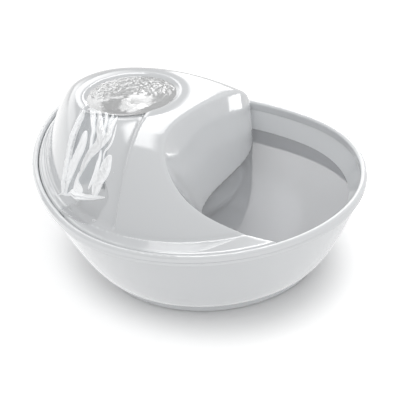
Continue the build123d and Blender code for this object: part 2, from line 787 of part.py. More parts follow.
with BuildPart() as volute_cover:
    with BuildSketch(pump_plane(volute_x)):
        RectangleRounded(pump_width, pump_height, pump_rounding)
    extrude(amount=volute_length)
    # outlet spigot
    with BuildSketch(Plane.XY.offset(pump_axis)):
        with Locations((dish_x, dish_y)):
            Circle(spigot_radius)
    extrude(amount=pump_height / 2 + spigot_height)
    with BuildSketch(Plane.XY.offset(pump_axis + chamber_radius / 2)):
        with Locations((dish_x, dish_y)):
            Circle(spigot_bore)
    extrude(amount=pump_height, mode=Mode.SUBTRACT)
    # chamber, bushing seat and inlet eye
    with BuildSketch(pump_plane(eye_face)):
        Circle(chamber_radius)
    extrude(amount=volute_length, mode=Mode.SUBTRACT)
    with BuildSketch(pump_plane(eye_face)):
        Circle(bushing_radius)
    extrude(amount=-bushing_seat, mode=Mode.SUBTRACT)
    with BuildSketch(pump_plane(volute_x)):
        with PolarLocations(eye_circle, eye_holes):
            Circle(eye_hole_radius)
    extrude(amount=volute_front, mode=Mode.SUBTRACT)
finish(volute_cover, "volute_cover")

with BuildPart() as pump_seal:
    with BuildSketch(pump_plane(motor_x)):
        Circle(seal_outer)
        Circle(seal_inner, mode=Mode.SUBTRACT)
    extrude(amount=seal_depth)
finish(pump_seal, "pump_seal")

with BuildPart() as rotor_shaft:
    with BuildSketch(pump_plane(eye_face - bushing_seat)):
        Circle(shaft_radius)
    extrude(amount=well_end + 2 * bushing_seat - eye_face)
finish(rotor_shaft, "rotor_shaft")

with BuildPart() as shaft_bushings:
    for start, length in (
        (eye_face - bushing_seat, bushing_length),
        (well_end + bushing_seat, -bushing_length),
    ):
        with BuildSketch(pump_plane(start)):
            Circle(bushing_radius)
            Circle(shaft_radius, mode=Mode.SUBTRACT)
        extrude(amount=length)
finish(shaft_bushings, "shaft_bushings")

with BuildPart() as impeller:
    with BuildSketch(pump_plane(impeller_x + impeller_height - impeller_plate)):
        Circle(impeller_radius)
    extrude(amount=impeller_plate)
    with BuildSketch(pump_plane(impeller_x)):
        with PolarLocations(impeller_radius / 2, blade_count):
            Rectangle(impeller_radius, blade_thickness)
    extrude(amount=impeller_height)
    with BuildSketch(pump_plane(impeller_x)):
        Circle(impeller_hub)
    extrude(amount=magnet_x - impeller_x)
    with BuildSketch(pump_plane(impeller_x)):
        Circle(shaft_radius + shaft_gap)
    extrude(amount=magnet_x - impeller_x, mode=Mode.SUBTRACT)
finish(impeller, "impeller")

with BuildPart() as rotor_magnet:
    with BuildSketch(pump_plane(magnet_x)):
        Circle(magnet_radius)
        Circle(shaft_radius + shaft_gap, mode=Mode.SUBTRACT)
    extrude(amount=magnet_length)
finish(rotor_magnet, "rotor_magnet")

with BuildPart() as strainer:
    strainer_width, strainer_height = pump_width - 2 * strainer_inset, pump_height - 2 * strainer_inset
    with BuildSketch(pump_plane(strainer_x)):
        RectangleRounded(strainer_width, strainer_height, pump_rounding)
    extrude(amount=strainer_length)
    with BuildSketch(pump_plane(strainer_x + strainer_wall)):
        RectangleRounded(strainer_width - 2 * strainer_wall, strainer_height - 2 * strainer_wall,
                         pump_rounding - strainer_wall)
    extrude(amount=strainer_length, mode=Mode.SUBTRACT)
    # side slots, and the inlet holes that the dial covers
    with BuildSketch(Plane.XY.offset(pump_axis)):
        with Locations((strainer_x + strainer_length / 2, dish_y)):
            with GridLocations(1, strainer_width / strainer_slots, 1, strainer_slots):
                Rectangle(strainer_slot[0], strainer_slot[1])
    extrude(amount=pump_height, both=True, mode=Mode.SUBTRACT)
    with BuildSketch(pump_plane(strainer_x)):
        with PolarLocations(inlet_circle, inlet_holes):
            Circle(inlet_hole_radius)
    extrude(amount=strainer_wall, mode=Mode.SUBTRACT)
    # pin and head for the dial
    with BuildSketch(pump_plane(strainer_x)):
        Circle(dial_pin_radius)
    extrude(amount=-(dial_thickness + 2 * dial_gap))
    with BuildSketch(pump_plane(dial_x - dial_gap)):
        Circle(dial_pin_head)
    extrude(amount=-pump_shell / 2)
finish(strainer, "strainer")

with BuildPart() as flow_dial:
    with BuildSketch(pump_plane(dial_x)):
        Circle(dial_radius)
        with Locations((0, dial_radius)):
            Rectangle(dial_tab[0], 2 * dial_tab[1])
        Circle(dial_pin_radius + shaft_gap, mode=Mode.SUBTRACT)
        with PolarLocations(inlet_circle, inlet_holes):
            Circle(inlet_hole_radius, mode=Mode.SUBTRACT)
    extrude(amount=dial_thickness)
finish(flow_dial, "flow_dial")

with BuildPart() as pump_gland:
    with BuildSketch(Plane((pump_rear - pump_shell, dish_y, pump_axis), x_dir=(1, 0, 0), z_dir=(0, -1, 0))):
        with BuildLine():
            Polyline(
                (0, cord_bore / 2),
                (0, gland_tip_radius),
                (pump_shell, gland_tip_radius),
                (pump_shell, gland_radius),
                (pump_shell + gland_flange, gland_radius),
                (pump_shell + gland_length, gland_tip_radius),
                (pump_shell + gland_length, cord_bore / 2),
                close=True,
            )
        make_face()
    revolve(axis=Axis((0, dish_y, pump_axis), (1, 0, 0)))
finish(pump_gland, "pump_gland")

with BuildPart() as suction_cup:
    cup_plane = Plane((pump_middle, dish_y, tub_floor), x_dir=(1, 0, 0), z_dir=(0, -1, 0))
    with BuildSketch(cup_plane):
        with BuildLine():
            Polyline(
                (0, cup_lip),
                (cup_radius - cup_lip, 0),
                (cup_radius, 0),
                (cup_radius, cup_lip),
                (cup_neck_radius, cup_height - cup_lip),
                (cup_neck_radius, cup_height + pump_shell),
                (0, cup_height + pump_shell),
                close=True,
            )
        make_face()
    revolve(axis=Axis((pump_middle, dish_y, 0), (0, 0, 1)))

with BuildPart() as suction_cups:
    with GridLocations(*cup_spacing, 2, 2):
        add(suction_cup.part)
finish(suction_cups, "suction_cups")

with BuildPart() as riser_tube:
    with BuildSketch(Plane.XY.offset(pump_top + tube_above_pump)):
        with Locations((dish_x, dish_y)):
            Circle(tube_radius)
            Circle(spigot_radius + tube_gap, mode=Mode.SUBTRACT)
    extrude(amount=dish_floor - dish_wall - tube_below_dish - pump_top - tube_above_pump)
finish(riser_tube, "riser_tube")
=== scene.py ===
"""Looks of the pet water fountain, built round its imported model."""

import logging
import math
import random
from collections.abc import Callable
from dataclasses import dataclass, field
from enum import Enum
from functools import partial

import bpy
from mathutils import Matrix, Vector, noise
from mathutils.bvhtree import BVHTree


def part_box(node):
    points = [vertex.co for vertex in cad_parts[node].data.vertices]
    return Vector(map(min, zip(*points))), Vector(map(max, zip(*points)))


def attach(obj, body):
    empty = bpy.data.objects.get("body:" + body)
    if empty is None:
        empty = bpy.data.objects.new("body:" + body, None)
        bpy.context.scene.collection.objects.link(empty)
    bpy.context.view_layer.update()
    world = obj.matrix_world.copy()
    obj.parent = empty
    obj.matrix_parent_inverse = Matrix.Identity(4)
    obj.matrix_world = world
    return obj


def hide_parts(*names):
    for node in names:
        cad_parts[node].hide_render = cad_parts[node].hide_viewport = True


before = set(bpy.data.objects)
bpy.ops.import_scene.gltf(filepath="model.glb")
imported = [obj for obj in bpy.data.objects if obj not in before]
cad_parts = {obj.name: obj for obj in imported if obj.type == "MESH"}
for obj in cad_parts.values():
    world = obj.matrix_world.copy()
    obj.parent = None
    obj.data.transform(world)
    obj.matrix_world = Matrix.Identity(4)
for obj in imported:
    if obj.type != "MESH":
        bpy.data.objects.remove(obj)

LOG = logging.getLogger("fountain")
MM = 0.001
BOWL_LEVEL = 54.8 * MM
BRIM_LEVEL = 74.5 * MM
WATER_OVER_BUBBLER = 4.4 * MM
MERGE_DISTANCE = 2e-6
CUT_THRESHOLD = 1e-6
NOISE_LAYER = 0.37
RAY_HEIGHT = 1.0

Colour = tuple[float, float, float]
Place = tuple[float, float]
Cells = tuple[int, int]
Rule = Callable[[float, float], Vector]
Term = bpy.types.NodeSocket | float

WHITE = (1.0, 1.0, 1.0, 1.0)


class Body(Enum):
    """The bodies that the added pieces ride on."""

    FOUNTAIN = "fountain"
    HOOD = "hood"


def grey(level: float) -> Colour:
    """A neutral linear colour."""
    return (level, level, level)


# ---------------------------------------------------------------- shader node groups


class Effect:
    """A shader node group with named inputs and outputs, built once and placed in many materials."""

    name = "effect"
    inputs: dict[str, float] = {}
    outputs: tuple[str, ...] = ("Value",)

    def tree(self) -> bpy.types.NodeTree:
        """Builds the group on first use.

        Returns:
            The group's node tree.
        """
        existing = bpy.data.node_groups.get(self.name)
        if existing:
            return existing
        tree = bpy.data.node_groups.new(self.name, "ShaderNodeTree")
        for label, value in self.inputs.items():
            socket = tree.interface.new_socket(label, in_out="INPUT", socket_type="NodeSocketFloat")
            socket.default_value = value
        for label in self.outputs:
            kind = "NodeSocketVector" if label == "Normal" else "NodeSocketFloat"
            tree.interface.new_socket(label, in_out="OUTPUT", socket_type=kind)
        entry = tree.nodes.new("NodeGroupInput")
        leave = tree.nodes.new("NodeGroupOutput")
        self.wire(tree, entry, leave)
        return tree

    def wire(self, tree: bpy.types.NodeTree, entry: bpy.types.Node, leave: bpy.types.Node) -> None:
        """Fills the group with its nodes.

        Args:
            tree: The group's node tree.
            entry: Its input node.
            leave: Its output node.
        """
        raise NotImplementedError

    def place(self, tree: bpy.types.NodeTree, **values: float) -> bpy.types.Node:
        """Places the group in a material's or a world's tree.

        Args:
            tree: The tree to add it to.
            **values: Input values; an underscore in a name stands for a space.

        Returns:
            The group node.
        """
        node = tree.nodes.new("ShaderNodeGroup")
        node.node_tree = self.tree()
        for label, value in values.items():
            node.inputs[label.replace("_", " ")].default_value = value
        return node

    @staticmethod
    def feed(tree: bpy.types.NodeTree, term: Term, socket: bpy.types.NodeSocket) -> None:
        """Gives a node's input its value.

        Args:
            tree: The tree that holds the node.
            term: The value, a socket or a number.
            socket: The node's input.
        """
        if isinstance(term, bpy.types.NodeSocket):
            tree.links.new(term, socket)
        else:
            socket.default_value = term

    @staticmethod
    def maths(tree: bpy.types.NodeTree, operation: str, *terms: Term) -> bpy.types.NodeSocket:
        """Adds one maths node.

        Args:
            tree: The tree to add it to.
            operation: What it does.
            *terms: Its inputs, each a socket or a number.

        Returns:
            Its output.
        """
        node = tree.nodes.new("ShaderNodeMath")
        node.operation = operation
        for term, socket in zip(terms, node.inputs):
            Effect.feed(tree, term, socket)
        return node.outputs[0]

    @staticmethod
    def ease(tree: bpy.types.NodeTree, value: Term, start: Term, stop: Term) -> bpy.types.NodeSocket:
        """Adds a smooth step.

        Args:
            tree: The tree to add it to.
            value: What is stepped.
            start: The value that gives 0.
            stop: The value that gives 1.

        Returns:
            The step's output.
        """
        step = tree.nodes.new("ShaderNodeMapRange")
        step.interpolation_type = "SMOOTHSTEP"
        for label, term in (("Value", value), ("From Min", start), ("From Max", stop)):
            Effect.feed(tree, term, step.inputs[label])
        return step.outputs["Result"]

    @staticmethod
    def cloud(
        tree: bpy.types.NodeTree, place: bpy.types.NodeSocket, scale: Term, detail: float
    ) -> bpy.types.NodeSocket:
        """Adds a noise texture.

        Args:
            tree: The tree to add it to.
            place: The coordinates.
            scale: The noise's scale.
            detail: How many octaves it has.

        Returns:
            The noise, from 0 to 1.
        """
        noise_node = tree.nodes.new("ShaderNodeTexNoise")
        noise_node.inputs["Detail"].default_value = detail
        tree.links.new(place, noise_node.inputs["Vector"])
        Effect.feed(tree, scale, noise_node.inputs["Scale"])
        return noise_node.outputs["Fac"]

    @staticmethod
    def relief(
        tree: bpy.types.NodeTree, height: bpy.types.NodeSocket, strength: Term, depth: float
    ) -> bpy.types.NodeSocket:
        """Adds a bump.

        Args:
            tree: The tree to add it to.
            height: The bump's height, from 0 to 1.
            strength: How strongly it shows.
            depth: What a height of 1 stands for, in metres.

        Returns:
            The bumped normal.
        """
        bump = tree.nodes.new("ShaderNodeBump")
        bump.inputs["Distance"].default_value = depth
        tree.links.new(height, bump.inputs["Height"])
        Effect.feed(tree, strength, bump.inputs["Strength"])
        return bump.outputs["Normal"]


class MouldedSkin(Effect):
    """The faint waviness and smudges of a polished moulding."""

    name = "MouldedSkin"
    inputs = {
        "Wave Scale": 30.0,
        "Wave Height": 0.05,
        "Smudge Scale": 18.0,
        "Smudge Gain": 0.04,
        "Roughness": 0.06,
    }
    outputs = ("Normal", "Roughness")
    wave_detail = 1.0
    wave_depth = 0.4 * MM
    smudge_detail = 4.0

    def wire(self, tree: bpy.types.NodeTree, entry: bpy.types.Node, leave: bpy.types.Node) -> None:
        """Fills the group: a soft noise for the bump and another for the roughness."""
        place = tree.nodes.new("ShaderNodeTexCoord").outputs["Object"]
        given = entry.outputs
        wave = self.cloud(tree, place, given["Wave Scale"], self.wave_detail)
        smudge = self.cloud(tree, place, given["Smudge Scale"], self.smudge_detail)
        normal = self.relief(tree, wave, given["Wave Height"], self.wave_depth)
        rough = self.maths(tree, "MULTIPLY_ADD", smudge, given["Smudge Gain"], given["Roughness"])
        tree.links.new(normal, leave.inputs["Normal"])
        tree.links.new(rough, leave.inputs["Roughness"])


class Grain(Effect):
    """A granular or fibrous mask, with a bump that goes with it."""

    name = "Grain"
    inputs = {"Scale": 400.0, "Stretch": 1.0, "Height": 0.5, "Contrast": 2.0}
    outputs = ("Mask", "Normal")
    detail = 3.0
    depth = 0.5 * MM
    middle = 0.5

    def wire(self, tree: bpy.types.NodeTree, entry: bpy.types.Node, leave: bpy.types.Node) -> None:
        """Fills the group: a noise stretched along X, sharpened into a mask."""
        squeeze = tree.nodes.new("ShaderNodeCombineXYZ")
        for axis, term in (("X", entry.outputs["Stretch"]), ("Y", 1.0), ("Z", 1.0)):
            self.feed(tree, term, squeeze.inputs[axis])
        scaled = tree.nodes.new("ShaderNodeVectorMath")
        scaled.operation = "MULTIPLY"
        tree.links.new(tree.nodes.new("ShaderNodeTexCoord").outputs["Object"], scaled.inputs[0])
        tree.links.new(squeeze.outputs["Vector"], scaled.inputs[1])
        grains = self.cloud(tree, scaled.outputs["Vector"], entry.outputs["Scale"], self.detail)
        centred = self.maths(tree, "SUBTRACT", grains, self.middle)
        mask = self.maths(tree, "MULTIPLY_ADD", centred, entry.outputs["Contrast"], self.middle)
        mask.node.use_clamp = True
        tree.links.new(mask, leave.inputs["Mask"])
        normal = self.relief(tree, mask, entry.outputs["Height"], self.depth)
        tree.links.new(normal, leave.inputs["Normal"])


class Ripples(Effect):
    """Small standing ripples on water."""

    name = "Ripples"
    inputs = {"Scale": 60.0, "Height": 0.2, "Swirl": 1.5}
    outputs = ("Normal",)
    detail = 2.0
    depth = 1.0 * MM

    def wire(self, tree: bpy.types.NodeTree, entry: bpy.types.Node, leave: bpy.types.Node) -> None:
        """Fills the group: a distorted noise that drives a bump."""
        place = tree.nodes.new("ShaderNodeTexCoord").outputs["Object"]
        waves = self.cloud(tree, place, entry.outputs["Scale"], self.detail)
        tree.links.new(entry.outputs["Swirl"], waves.node.inputs["Distortion"])
        normal = self.relief(tree, waves, entry.outputs["Height"], self.depth)
        tree.links.new(normal, leave.inputs["Normal"])


class SoftBox(Effect):
    """A bright window with soft edges, somewhere round the studio.

    The window is flat: its middle and half sizes are slopes off the axis that azimuth and lean give.
    """

    name = "SoftBox"
    inputs = {
        "Azimuth": 0.0,
        "Lean": 0.0,
        "Middle X": 0.0,
        "Middle Y": 0.0,
        "Half X": 1.0,
        "Half Y": 1.0,
        "Softness": 0.1,
    }
    outputs = ("Mask",)
    least_ahead = 0.001
    front = 0.01

    def wire(self, tree: bpy.types.NodeTree, entry: bpy.types.Node, leave: bpy.types.Node) -> None:
        """Fills the group: the view direction, turned and flattened, against the window's edges."""
        direction = tree.nodes.new("ShaderNodeTexCoord").outputs["Generated"]
        for axis, label in (("Z_AXIS", "Azimuth"), ("Y_AXIS", "Lean")):
            turn = tree.nodes.new("ShaderNodeVectorRotate")
            turn.rotation_type = axis
            turn.invert = True
            tree.links.new(direction, turn.inputs["Vector"])
            tree.links.new(entry.outputs[label], turn.inputs["Angle"])
            direction = turn.outputs["Vector"]
        parts = tree.nodes.new("ShaderNodeSeparateXYZ")
        tree.links.new(direction, parts.inputs["Vector"])
        ahead = self.maths(tree, "MAXIMUM", parts.outputs["Z"], self.least_ahead)
        mask = self.maths(tree, "GREATER_THAN", parts.outputs["Z"], self.front)
        for axis in ("X", "Y"):
            slope = self.maths(tree, "DIVIDE", parts.outputs[axis], ahead)
            off = self.maths(tree, "SUBTRACT", slope, entry.outputs[f"Middle {axis}"])
            reach = self.maths(tree, "ABSOLUTE", off)
            inside = self.maths(tree, "SUBTRACT", entry.outputs[f"Half {axis}"], reach)
            edge = self.ease(tree, inside, 0.0, entry.outputs["Softness"])
            mask = self.maths(tree, "MULTIPLY", mask, edge)
        tree.links.new(mask, leave.inputs["Mask"])


class PaintedShadowOval(Effect):
    """A soft oval mask on the floor, 0 round the piece and 1 farther out, that fades out the floor's
    glow near the piece and so paints a soft shadow there.
    """

    name = "PaintedShadowOval"
    inputs = {"Middle X": 0.0, "Middle Y": 0.0, "Shorten Y": 1.0, "Inner": 0.1, "Outer": 0.2}
    outputs = ("Mask",)

    def wire(self, tree: bpy.types.NodeTree, entry: bpy.types.Node, leave: bpy.types.Node) -> None:
        """Fills the group: the distance from the middle, eased between the two radii."""
        parts = tree.nodes.new("ShaderNodeSeparateXYZ")
        tree.links.new(tree.nodes.new("ShaderNodeTexCoord").outputs["Object"], parts.inputs["Vector"])
        across = self.maths(tree, "SUBTRACT", parts.outputs["X"], entry.outputs["Middle X"])
        along = self.maths(tree, "SUBTRACT", parts.outputs["Y"], entry.outputs["Middle Y"])
        along = self.maths(tree, "MULTIPLY", along, entry.outputs["Shorten Y"])
        square = self.maths(tree, "MULTIPLY", across, across)
        square = self.maths(tree, "MULTIPLY_ADD", along, along, square)
        away = self.maths(tree, "SQRT", square)
        mask = self.ease(tree, away, entry.outputs["Inner"], entry.outputs["Outer"])
        tree.links.new(mask, leave.inputs["Mask"])


class Bands(Effect):
    """Fine parallel bands, as on a wound coil or a stack of laminations."""

    name = "Bands"
    inputs = {"Scale": 600.0, "Height": 0.6}
    outputs = ("Mask", "Normal")
    direction = "X"
    depth = 0.3 * MM

    def wire(self, tree: bpy.types.NodeTree, entry: bpy.types.Node, leave: bpy.types.Node) -> None:
        """Fills the group: a wave texture in one direction, used as mask and as bump."""
        bands = tree.nodes.new("ShaderNodeTexWave")
        bands.bands_direction = self.direction
        tree.links.new(tree.nodes.new("ShaderNodeTexCoord").outputs["Object"], bands.inputs["Vector"])
        tree.links.new(entry.outputs["Scale"], bands.inputs["Scale"])
        mask = bands.outputs["Fac"]
        tree.links.new(mask, leave.inputs["Mask"])
        normal = self.relief(tree, mask, entry.outputs["Height"], self.depth)
        tree.links.new(normal, leave.inputs["Normal"])


class BandsAlongZ(Bands):
    """The same bands, stacked along Z."""

    name = "BandsAlongZ"
    direction = "Z"


# ---------------------------------------------------------------- finishes


@dataclass(frozen=True)
class Finish:
    """A material's constants, and what makes the node tree of one."""

    name: str
    colour: Colour
    roughness: float = 0.4
    metallic: float = 0.0
    specular: float = 0.5
    coat: float = 0.0
    coat_roughness: float = 0.03

    def material(self) -> bpy.types.Material:
        """Makes the material on first use.

        Returns:
            The material, with its effects wired in.
        """
        existing = bpy.data.materials.get(self.name)
        if existing:
            return existing
        made = bpy.data.materials.new(self.name)
        made.use_nodes = True
        shader = made.node_tree.nodes["Principled BSDF"]
        shader.inputs["Base Color"].default_value = (*self.colour, 1.0)
        shader.inputs["Roughness"].default_value = self.roughness
        shader.inputs["Metallic"].default_value = self.metallic
        shader.inputs["Specular IOR Level"].default_value = self.specular
        shader.inputs["Coat Weight"].default_value = self.coat
        shader.inputs["Coat Roughness"].default_value = self.coat_roughness
        self.dress(made.node_tree, shader)
        return made

    def dress(self, tree: bpy.types.NodeTree, shader: bpy.types.Node) -> None:
        """Adds the effects of this kind of finish.

        Args:
            tree: The material's node tree.
            shader: Its Principled BSDF.
        """

    @staticmethod
    def mix(
        tree: bpy.types.NodeTree, mask: bpy.types.NodeSocket, low: Colour, high: Colour
    ) -> bpy.types.NodeSocket:
        """Mixes two colours by a mask.

        Args:
            tree: The material's node tree.
            mask: The socket that holds the mask.
            low: The colour where the mask is 0.
            high: The colour where the mask is 1.

        Returns:
            The mixed colour's socket.
        """
        node = tree.nodes.new("ShaderNodeMix")
        node.data_type = "RGBA"
        node.inputs["A"].default_value = (*low, 1.0)
        node.inputs["B"].default_value = (*high, 1.0)
        tree.links.new(mask, node.inputs["Factor"])
        return node.outputs["Result"]


@dataclass(frozen=True)
class PolishedPlastic(Finish):
    """Polished moulded plastic, nearly a mirror, with faint waves and smudges."""

    wave_height: float = 0.05
    wave_scale: float = 24.0
    smudge_gain: float = 0.05

    def dress(self, tree: bpy.types.NodeTree, shader: bpy.types.Node) -> None:
        """Adds the moulded skin to the bump and the roughness."""
        skin = MouldedSkin().place(
            tree,
            Wave_Scale=self.wave_scale,
            Wave_Height=self.wave_height,
            Smudge_Gain=self.smudge_gain,
            Roughness=self.roughness,
        )
        tree.links.new(skin.outputs["Normal"], shader.inputs["Normal"])
        tree.links.new(skin.outputs["Roughness"], shader.inputs["Roughness"])


@dataclass(frozen=True)
class Water(Finish):
    """Water with small ripples. Where clearness is below 1 the rest shows as an opaque colour that
    paints the water's tone, and glow paints light onto it.
    """

    ripple_scale: float = 60.0
    ripple_height: float = 0.2
    clearness: float = 1.0
    glow: float = 0.0
    bending: float = 1.33

    def dress(self, tree: bpy.types.NodeTree, shader: bpy.types.Node) -> None:
        """Makes the shader transmissive and adds the ripples."""
        shader.inputs["Transmission Weight"].default_value = self.clearness
        shader.inputs["IOR"].default_value = self.bending
        # painted glow: emission on water, which is no lamp
        shader.inputs["Emission Color"].default_value = WHITE
        shader.inputs["Emission Strength"].default_value = self.glow
        ripples = Ripples().place(tree, Scale=self.ripple_scale, Height=self.ripple_height)
        tree.links.new(ripples.outputs["Normal"], shader.inputs["Normal"])


@dataclass(frozen=True)
class Grainy(Finish):
    """A finish with a grain in two colours: rubber, foam, granules or a satin moulding."""

    second: Colour = (0.1, 0.1, 0.1)
    scale: float = 400.0
    stretch: float = 1.0
    height: float = 0.4
    contrast: float = 2.0

    def dress(self, tree: bpy.types.NodeTree, shader: bpy.types.Node) -> None:
        """Adds the grain to the colour and the bump."""
        grain = Grain().place(
            tree, Scale=self.scale, Stretch=self.stretch, Height=self.height, Contrast=self.contrast
        )
        mixed = self.mix(tree, grain.outputs["Mask"], self.colour, self.second)
        tree.links.new(mixed, shader.inputs["Base Color"])
        tree.links.new(grain.outputs["Normal"], shader.inputs["Normal"])


@dataclass(frozen=True)
class Banded(Finish):
    """A finish with fine bands: wound wire along X, or laminations along Z."""

    second: Colour = (0.1, 0.1, 0.1)
    scale: float = 600.0
    height: float = 0.6
    stacked: bool = False

    def dress(self, tree: bpy.types.NodeTree, shader: bpy.types.Node) -> None:
        """Adds the bands to the colour and the bump."""
        effect = BandsAlongZ() if self.stacked else Bands()
        bands = effect.place(tree, Scale=self.scale, Height=self.height)
        mixed = self.mix(tree, bands.outputs["Mask"], self.colour, self.second)
        tree.links.new(mixed, shader.inputs["Base Color"])
        tree.links.new(bands.outputs["Normal"], shader.inputs["Normal"])


WHITE_GLOSS = PolishedPlastic("white_gloss_plastic", (0.71, 0.725, 0.74), 0.05, coat=0.6)
# painted light: the same white gloss made lighter for the bowl's rim, to lift the shade in its inner
# band
RIM_GLOSS_PAINTED_LIGHTER = PolishedPlastic("white_gloss_painted_lighter", (0.79, 0.805, 0.82), 0.05, coat=0.6)
WHITE_MATTE = Grainy("white_matte_plastic", grey(0.74), 0.5, second=grey(0.66), scale=900, height=0.1)
PALE_GREY = PolishedPlastic("pale_grey_plastic", (0.62, 0.64, 0.65), 0.22)
TUBE_PLASTIC = PolishedPlastic("milky_tube_plastic", (0.66, 0.70, 0.72), 0.25)
RUBBER = Grainy("grey_rubber", grey(0.10), 0.75, second=grey(0.14), scale=1200, height=0.25)
FOAM = Grainy("filter_floss", grey(0.80), 0.95, second=grey(0.55), scale=700, stretch=0.3, height=1.0)
CARBON = Grainy(
    "carbon_granules", grey(0.012), 0.5, second=grey(0.05), scale=900, height=1.0, contrast=4
)
PUMP_BLACK = Grainy("black_pump_plastic", grey(0.018), 0.42, second=grey(0.028), scale=1500, height=0.15)
DIAL_GREY = Grainy("grey_dial_plastic", grey(0.22), 0.42, second=grey(0.27), scale=1500, height=0.15)
IMPELLER = Grainy("impeller_plastic", grey(0.70), 0.4, second=grey(0.62), scale=1500, height=0.1)
MAGNET = Grainy("ferrite_magnet", grey(0.03), 0.6, second=grey(0.05), scale=1800, height=0.3)
CORE = Banded(
    "laminated_core", grey(0.34), 0.4, metallic=0.9, second=grey(0.12), scale=320, stacked=True
)
COIL = Banded(
    "enamelled_coil", (0.55, 0.20, 0.07), 0.3, metallic=0.8, second=(0.20, 0.06, 0.02), scale=420
)
SHAFT = Banded(
    "polished_shaft", grey(0.65), 0.15, metallic=1.0, second=grey(0.55), scale=2000, height=0.1
)
# painted shade: a third of this water is an opaque grey that stands in for the shaded bowl seen through
# it
BOWL_WATER_PAINTED_SHADE = Water(
    "bowl_water", (0.66, 0.67, 0.69), 0.0, ripple_scale=14, ripple_height=0.02, clearness=0.66
)
# painted shade: half of this water is an opaque grey that stands in for the darker tone seen on and
# through it
DISH_WATER_PAINTED_SHADE = Water(
    "dish_water", grey(0.76), 0.02, coat=0.7, ripple_scale=45, ripple_height=0.05, clearness=0.5
)
FILM_WATER = Water("film_water", (0.91, 0.925, 0.935), 0.02, ripple_scale=120, ripple_height=0.2)
CLEAR_WATER = Water("clear_water", grey(1.0), 0.02, ripple_scale=120, ripple_height=0.2)
# foam and painted highlight: the strands are opaque white, partly the whiteness of aerated water and
# partly painted highlight, and their glow is a painted glow
FOAMY_WATER_PAINTED_SHEEN = Water(
    "foamy_water_painted_sheen",
    (0.97, 0.985, 1.0),
    0.08,
    coat=1.0,
    ripple_scale=260,
    ripple_height=0.5,
    clearness=0.0,
    glow=0.16,
)

NODE_FINISHES: dict[str, Finish] = {
    "bowl": WHITE_GLOSS,
    "bowl_rim": RIM_GLOSS_PAINTED_LIGHTER,
    "hood": WHITE_GLOSS,
    "bubbler": WHITE_GLOSS,
    "foot_pads": RUBBER,
    "cord_grommet": RUBBER,
    "riser_tube": TUBE_PLASTIC,
    "filter_housing": PALE_GREY,
    "housing_lid": PALE_GREY,
    "cartridge_frame_front": WHITE_MATTE,
    "cartridge_frame_back": WHITE_MATTE,
    "filter_foam": FOAM,
    "filter_carbon": CARBON,
    "pump_body": PUMP_BLACK,
    "pump_back_plate": PUMP_BLACK,
    "volute_cover": PUMP_BLACK,
    "pump_seal": RUBBER,
    "stator_core": CORE,
    "stator_coil": COIL,
    "rotor_magnet": MAGNET,
    "impeller": IMPELLER,
    "rotor_shaft": SHAFT,
    "shaft_bushings": RUBBER,
    "strainer": PUMP_BLACK,
    "flow_dial": DIAL_GREY,
    "suction_cups": RUBBER,
    "pump_gland": RUBBER,
}


# ---------------------------------------------------------------- modelling helpers


def deselect_all() -> None:
    """Leaves edit mode and deselects every object."""
    if bpy.context.object and bpy.context.object.mode != "OBJECT":
        bpy.ops.object.mode_set(mode="OBJECT")
    bpy.ops.object.select_all(action="DESELECT")


def take(piece: bpy.types.Object) -> None:
    """Makes a piece the only selected and the active object."""
    deselect_all()
    piece.select_set(True)
    bpy.context.view_layer.objects.active = piece


def added(name: str) -> bpy.types.Object:
    """Names the primitive that was just added.

    Args:
        name: The piece's name.

    Returns:
        The new object.
    """
    piece = bpy.context.object
    piece.name = name
    piece.data.name = name
    return piece


def copy_of(node: str, name: str) -> bpy.types.Object:
    """Copies a frame node's mesh into a piece of its own and merges its loose triangles.

    Args:
        node: The node's name.
        name: The new piece's name.

    Returns:
        The merged copy, at the origin.
    """
    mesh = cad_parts[node].data.copy()
    piece = bpy.data.objects.new(name, mesh)
    bpy.context.scene.collection.objects.link(piece)
    take(piece)
    bpy.ops.object.mode_set(mode="EDIT")
    bpy.ops.mesh.customdata_custom_splitnormals_clear()
    bpy.ops.mesh.select_all(action="SELECT")
    bpy.ops.mesh.remove_doubles(threshold=MERGE_DISTANCE)
    bpy.ops.object.mode_set(mode="OBJECT")
    return piece


def apply_modifiers(piece: bpy.types.Object) -> None:
    """Applies every modifier of a piece, in order."""
    take(piece)
    for modifier in list(piece.modifiers):
        bpy.ops.object.modifier_apply(modifier=modifier.name)


def seat(piece: bpy.types.Object) -> None:
    """Moves a piece's place into its mesh, so that its object stands at the origin."""
    take(piece)
    bpy.ops.object.transform_apply(location=True, rotation=True, scale=True)


def joined(pieces: list[bpy.types.Object], name: str) -> bpy.types.Object:
    """Joins pieces in one.

    Args:
        pieces: The pieces, the one that is kept first.
        name: The joined piece's name.

    Returns:
        The joined piece.
    """
    take(pieces[0])
    for piece in pieces:
        piece.select_set(True)
    bpy.ops.object.join()
    return added(name)


def wear(piece: bpy.types.Object, finish: Finish) -> None:
    """Gives a piece its finish as its only material."""
    piece.data.materials.clear()
    piece.data.materials.append(finish.material())


def surface_of(piece: bpy.types.Object) -> BVHTree:
    """A search tree of a piece's faces, for resting other pieces on it."""
    return BVHTree.FromObject(piece, bpy.context.evaluated_depsgraph_get())


def grid(name: str, cells: Cells, rule: Rule) -> bpy.types.Object:
    """Adds a grid and lays it out by a rule.

    Args:
        name: The piece's name.
        cells: How many cells it has along and across.
        rule: Gives a vertex's place from its two grid values, each from -1 to 1.

    Returns:
        The piece.
    """
    deselect_all()
    bpy.ops.mesh.primitive_grid_add(x_subdivisions=cells[0], y_subdivisions=cells[1], size=2.0)
    piece = added(name)
    for vertex in piece.data.vertices:
        vertex.co = rule(vertex.co.x, vertex.co.y)
    piece.data.update()
    bpy.ops.object.shade_smooth()
    return piece


